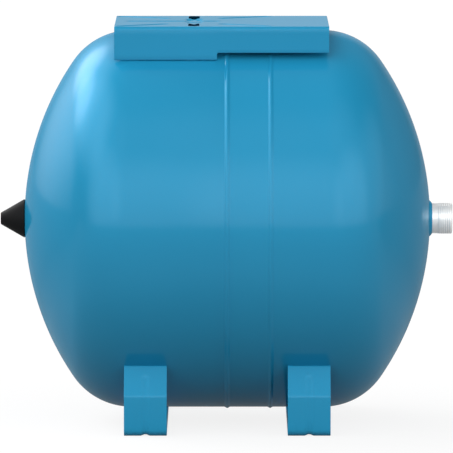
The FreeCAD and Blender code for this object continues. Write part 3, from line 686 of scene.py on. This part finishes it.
def new_material(name):
    """A material with its node tree and its main shader."""
    material = bpy.data.materials.new(name)
    material.use_nodes = True
    tree = material.node_tree
    return material, tree, tree.nodes["Principled BSDF"]


def add_node(tree, kind, values):
    """A new node with a value for each named input."""
    node = tree.nodes.new(kind)
    for name, value in values.items():
        node.inputs[name].default_value = value
    return node


def noise(tree, scale, detail=2.0, stretch=(1, 1, 1)):
    """A noise texture in the object's own metres."""
    place = tree.nodes.new("ShaderNodeTexCoord")
    mapping = add_node(tree, "ShaderNodeMapping", {"Scale": stretch})
    texture = add_node(tree, "ShaderNodeTexNoise", {"Scale": scale, "Detail": detail})
    tree.links.new(place.outputs["Object"], mapping.inputs["Vector"])
    tree.links.new(mapping.outputs["Vector"], texture.inputs["Vector"])
    return texture.outputs["Fac"]


def vary_colour(tree, shader, factor, low, high):
    """A base colour that wanders between two."""
    mix = tree.nodes.new("ShaderNodeMix")
    mix.data_type = "RGBA"
    mix.inputs["A"].default_value = (*low, 1)
    mix.inputs["B"].default_value = (*high, 1)
    tree.links.new(factor, mix.inputs["Factor"])
    tree.links.new(mix.outputs["Result"], shader.inputs["Base Color"])


def vary_roughness(tree, shader, factor, low, high):
    """A roughness that wanders between two."""
    between = add_node(tree, "ShaderNodeMapRange", {"To Min": low, "To Max": high})
    tree.links.new(factor, between.inputs["Value"])
    tree.links.new(between.outputs["Result"], shader.inputs["Roughness"])


def add_bump(tree, shader, height, distance, strength=1.0):
    """Small unevenness of the surface, with its height in metres."""
    bump = add_node(tree, "ShaderNodeBump", {"Distance": distance, "Strength": strength})
    tree.links.new(height, bump.inputs["Height"])
    tree.links.new(bump.outputs["Normal"], shader.inputs["Normal"])


def blue_paint():
    """Gloss powder coat: a weakly metallic blue under a clear coat."""
    material, tree, shader = new_material("blue_paint")
    vary_colour(tree, shader, noise(tree, 14), *PAINT_COLOURS)
    vary_roughness(tree, shader, noise(tree, 60), 0.27, 0.31)
    add_bump(tree, shader, noise(tree, 700), 0.000004, 0.5)
    shader.inputs["Metallic"].default_value = PAINT_METALLIC
    shader.inputs["Specular IOR Level"].default_value = 0.0
    shader.inputs["Specular Tint"].default_value = (*PAINT_EDGE_TINT, 1)
    shader.inputs["Coat Weight"].default_value = PAINT_COAT
    shader.inputs["Coat Roughness"].default_value = PAINT_COAT_ROUGHNESS
    shader.inputs["Coat IOR"].default_value = PAINT_COAT_IOR
    return material


def slot_wall_painted_shade():
    """Painted shade: the slots' punched walls are coloured almost black, as the photo shows them, to stand in
    for the shade inside the slots.
    """
    material, tree, shader = new_material("slot_wall_painted_shade")
    vary_colour(tree, shader, noise(tree, 900), (0.001, 0.018, 0.040), (0.003, 0.028, 0.060))
    vary_roughness(tree, shader, noise(tree, 1500), 0.5, 0.65)
    add_bump(tree, shader, noise(tree, 2500, 3.0), 0.00002)
    shader.inputs["Specular IOR Level"].default_value = 0.0
    return material


def black_plastic():
    """The cap's moulded plastic, with hardly any shine."""
    material, tree, shader = new_material("black_plastic")
    vary_colour(tree, shader, noise(tree, 300), (0.006, 0.006, 0.0064), (0.010, 0.010, 0.0106))
    vary_roughness(tree, shader, noise(tree, 900), 0.45, 0.58)
    add_bump(tree, shader, noise(tree, 2600, 3.0), 0.00003)
    shader.inputs["Specular IOR Level"].default_value = 0.08
    return material


def plated_steel():
    """Bright zinc plate, with fine turning marks round the X axis."""
    material, tree, shader = new_material("plated_steel")
    vary_colour(tree, shader, noise(tree, 120), (0.97, 0.97, 0.96), (0.99, 0.99, 0.98))
    vary_roughness(tree, shader, noise(tree, 500, 3.0, (8, 1, 1)), 0.26, 0.4)
    add_bump(tree, shader, noise(tree, 900, stretch=(6, 0.4, 0.4)), 0.00001)
    shader.inputs["Metallic"].default_value = 0.6
    return material


def metal(name, low, high, roughness):
    """A bare metal for the parts inside."""
    material, tree, shader = new_material(name)
    vary_colour(tree, shader, noise(tree, 400), low, high)
    vary_roughness(tree, shader, noise(tree, 1500, 3.0), roughness, roughness + 0.12)
    add_bump(tree, shader, noise(tree, 2500, stretch=(5, 1, 1)), 0.000008)
    shader.inputs["Metallic"].default_value = 1.0
    return material


def soft(name, low, high, roughness):
    """A matt rubber or plastic for the parts inside."""
    material, tree, shader = new_material(name)
    vary_colour(tree, shader, noise(tree, 200), low, high)
    vary_roughness(tree, shader, noise(tree, 700), roughness - 0.08, roughness)
    add_bump(tree, shader, noise(tree, 1800, 3.0), 0.00004)
    return material


def paint_frame(materials):
    """Gives each carried-over node the material of its slot."""
    slots = {row["node"]: row["material_slot"] for row in frame["record"]["subparts"]}
    for node, obj in frame["nodes"].items():
        obj.data.materials.clear()
        obj.data.materials.append(materials[slots[node]])
        finish_shading(obj, 30)


# Studio

# The camera's distance in metres and its sensor in millimetres
CAMERA_DISTANCE = 8.5
CAMERA_ELEVATION = math.radians(4.89)
SENSOR_WIDTH = 36.0
FRAME_PIXELS = 453
METRES_PER_PIXEL = 1.086 * MM
# The pixel on which the tank's middle lies in the photo
TANK_PIXEL = (227.25, 218.32)

# Soft lights all round, in degrees: azimuth from the front towards +X, elevation, half width, and then
# the level. A level below 0 takes light away.
LOBES = [
    (0, 12, 36, 1.3),
    (0, 45, 36, 0.3),
    (-45, 15, 36, 1.6),
    (-45, 45, 36, 0.4),
    (45, 12, 36, 1.6),
    (45, 45, 36, 0.4),
    (-90, 45, 32, 1.8),
    (90, 12, 36, 0.8),
    (-135, 30, 40, 2.1),
    (-124, 33, 16, 3.6),
    (-147, 30, 17, 3.4),
    (180, 0, 60, -0.32),
    (180, 5, 22, 0.42),
    (112, 45, 40, -0.3),
]
BASE_LEVEL = 0.52

FLOOR_RADIUS = 40
FLOOR_SIDES = 96
# The floor as the camera sees it: white, mixed with a share of this colour, which takes the shadow
FLOOR_SEEN = 0.82
SHADOW_SHARE = 0.15
# The colour that throws light up at the tank
FLOOR_BOUNCE = 0.1
# Painted glow that mirroring surfaces see in the floor, with a painted shadow: its level near the tank and
# far from it, between two distances in metres
FLOOR_GLOW_WITH_PAINTED_SHADOW = (0.33, 0.8)
FLOOR_PAINTED_SHADOW_REACH = (0.08, 0.5)
# Painted shade behind the tank: the share of that level that is left there, from a distance in metres on
FLOOR_BACK_PAINTED_SHADE = 0.55
FLOOR_BACK_SHADE_REACH = 0.6


def painted_mirror_glow(tree):
    """The floor's painted glow for mirroring surfaces, with painted shade: less near the tank, and less
    behind it.
    """
    place = tree.nodes.new("ShaderNodeTexCoord")
    reach = tree.nodes.new("ShaderNodeVectorMath")
    reach.operation = "LENGTH"
    painted_shadow_fade = add_node(tree, "ShaderNodeMapRange", {
        "From Min": FLOOR_PAINTED_SHADOW_REACH[0],
        "From Max": FLOOR_PAINTED_SHADOW_REACH[1],
        "To Min": FLOOR_GLOW_WITH_PAINTED_SHADOW[0],
        "To Max": FLOOR_GLOW_WITH_PAINTED_SHADOW[1],
    })
    parts = tree.nodes.new("ShaderNodeSeparateXYZ")
    behind = add_node(tree, "ShaderNodeMapRange", {
        "From Max": FLOOR_BACK_SHADE_REACH,
        "To Min": 1.0,
        "To Max": FLOOR_BACK_PAINTED_SHADE,
    })
    level = tree.nodes.new("ShaderNodeMath")
    level.operation = "MULTIPLY"
    tree.links.new(place.outputs["Object"], reach.inputs[0])
    tree.links.new(reach.outputs["Value"], painted_shadow_fade.inputs["Value"])
    tree.links.new(place.outputs["Object"], parts.inputs["Vector"])
    tree.links.new(parts.outputs["Y"], behind.inputs["Value"])
    tree.links.new(painted_shadow_fade.outputs["Result"], level.inputs[0])
    tree.links.new(behind.outputs["Result"], level.inputs[1])
    return level.outputs["Value"]


def choose(tree, share, low, high):
    """Mixes two shaders by a share from 0 to 1."""
    mix = tree.nodes.new("ShaderNodeMixShader")
    tree.links.new(share, mix.inputs["Fac"])
    tree.links.new(low, mix.inputs[1])
    tree.links.new(high, mix.inputs[2])
    return mix.outputs["Shader"]


def floor_material():
    """White with a faint shadow to the camera, a painted glow with painted shade near and behind the tank to
    mirroring rays, dark to all other rays.
    """
    material, tree, shader = new_material("floor")
    shader.inputs["Base Color"].default_value = (FLOOR_BOUNCE, FLOOR_BOUNCE, FLOOR_BOUNCE, 1)
    shader.inputs["Roughness"].default_value = 0.9
    shader.inputs["Specular IOR Level"].default_value = 0.0
    shaded = add_node(tree, "ShaderNodeBsdfDiffuse", {"Color": (FLOOR_SEEN, FLOOR_SEEN, FLOOR_SEEN, 1)})
    white = tree.nodes.new("ShaderNodeEmission")
    seen = add_node(tree, "ShaderNodeMixShader", {"Fac": SHADOW_SHARE})
    tree.links.new(white.outputs["Emission"], seen.inputs[1])
    tree.links.new(shaded.outputs["BSDF"], seen.inputs[2])
    # Painted glow for mirroring rays, darker near and behind the tank as painted shadow
    painted_glow = tree.nodes.new("ShaderNodeEmission")
    tree.links.new(painted_mirror_glow(tree), painted_glow.inputs["Strength"])
    path = tree.nodes.new("ShaderNodeLightPath").outputs
    unseen = choose(tree, path["Is Glossy Ray"], shader.outputs["BSDF"], painted_glow.outputs["Emission"])
    surface = choose(tree, path["Is Camera Ray"], unseen, seen.outputs["Shader"])
    tree.links.new(surface, tree.nodes["Material Output"].inputs["Surface"])
    return material


def make_floor():
    """A wide floor, which belongs to the picture and not to the tank."""
    bm = bmesh.new()
    angles = [2 * math.pi * i / FLOOR_SIDES for i in range(FLOOR_SIDES)]
    bm.faces.new([bm.verts.new((FLOOR_RADIUS * math.cos(a), FLOOR_RADIUS * math.sin(a), 0)) for a in angles])
    floor = new_object("floor", bm)
    floor.data.materials.append(floor_material())


def make_camera():
    """A long lens from the front, turned so that the tank's middle falls on its pixel."""
    data = bpy.data.cameras.new("camera")
    data.sensor_width = SENSOR_WIDTH
    data.lens = SENSOR_WIDTH * CAMERA_DISTANCE / (FRAME_PIXELS * METRES_PER_PIXEL)
    camera = bpy.data.objects.new("camera", data)
    bpy.context.scene.collection.objects.link(camera)
    back = Vector((0, -math.cos(CAMERA_ELEVATION), math.sin(CAMERA_ELEVATION)))
    right = Vector((1, 0, 0))
    up = right.cross(-back)
    middle = FRAME_PIXELS / 2
    aim = MIDDLE - right * ((TANK_PIXEL[0] - middle) * METRES_PER_PIXEL)
    aim -= up * ((middle - TANK_PIXEL[1]) * METRES_PER_PIXEL)
    camera.location = aim + back * CAMERA_DISTANCE
    camera.rotation_mode = "QUATERNION"
    camera.rotation_quaternion = (-back).to_track_quat("-Z", "Y")
    data.clip_start = 0.1
    data.clip_end = 100
    bpy.context.scene.camera = camera


def direction(azimuth, elevation):
    """The way towards a light, from its azimuth and elevation in degrees."""
    a, e = math.radians(azimuth), math.radians(elevation)
    return Vector((math.sin(a) * math.cos(e), -math.cos(a) * math.cos(e), math.sin(e)))


def make_world():
    """Soft lobes of light by direction; the camera itself sees plain white."""
    world = bpy.data.worlds.new("studio")
    bpy.context.scene.world = world
    world.use_nodes = True
    tree = world.node_tree
    tree.nodes.clear()
    place = tree.nodes.new("ShaderNodeTexCoord")
    total = None
    for azimuth, elevation, half_width, level in LOBES:
        towards = tree.nodes.new("ShaderNodeVectorMath")
        towards.operation = "DOT_PRODUCT"
        towards.inputs[1].default_value = direction(azimuth, elevation)
        tree.links.new(place.outputs["Generated"], towards.inputs[0])
        rise = {"From Min": math.cos(math.radians(half_width)), "From Max": 1.0, "To Max": level}
        lobe = add_node(tree, "ShaderNodeMapRange", rise)
        lobe.interpolation_type = "SMOOTHSTEP"
        tree.links.new(towards.outputs["Value"], lobe.inputs["Value"])
        add = tree.nodes.new("ShaderNodeMath")
        add.inputs[0].default_value = BASE_LEVEL
        if total:
            tree.links.new(total, add.inputs[0])
        tree.links.new(lobe.outputs["Result"], add.inputs[1])
        total = add.outputs[0]
    light = tree.nodes.new("ShaderNodeBackground")
    tree.links.new(total, light.inputs["Color"])
    white = add_node(tree, "ShaderNodeBackground", {"Color": (1, 1, 1, 1)})
    by_camera = tree.nodes.new("ShaderNodeLightPath").outputs["Is Camera Ray"]
    surface = choose(tree, by_camera, light.outputs["Background"], white.outputs["Background"])
    out = tree.nodes.new("ShaderNodeOutputWorld")
    tree.links.new(surface, out.inputs["Surface"])


def main():
    bpy.context.scene.view_settings.view_transform = "Standard"
    make_camera()
    materials = {
        "blue_paint": blue_paint(),
        # Painted shade: a near-black colour for the slots' walls
        "slot_wall_painted_shade": slot_wall_painted_shade(),
        "black_plastic": black_plastic(),
        "plated_steel": plated_steel(),
        "galvanised_steel": metal("galvanised_steel", (0.45, 0.47, 0.49), (0.58, 0.60, 0.62), 0.35),
        "spring_steel": metal("spring_steel", (0.42, 0.42, 0.43), (0.52, 0.52, 0.53), 0.25),
        "brass": metal("brass", (0.62, 0.42, 0.16), (0.72, 0.50, 0.20), 0.25),
        "butyl_rubber": soft("butyl_rubber", (0.010, 0.010, 0.010), (0.018, 0.018, 0.018), 0.7),
        "packing": soft("packing", (0.02, 0.02, 0.02), (0.03, 0.03, 0.03), 0.6),
        "guard_plastic": soft("guard_plastic", (0.55, 0.55, 0.53), (0.62, 0.62, 0.60), 0.5),
    }
    paint = materials["blue_paint"]
    paint_frame(materials)
    make_water_half(paint)
    make_gas_half(paint)
    make_middle_weld(paint)
    make_nozzle(materials["plated_steel"])
    make_nozzle_weld(paint)
    make_cap(materials["black_plastic"])
    make_console(paint, materials["slot_wall_painted_shade"])
    make_foot("left_foot", "gas_side_foot", paint)
    make_foot("right_foot", "water_side_foot", paint)
    make_floor()
    make_world()


main()
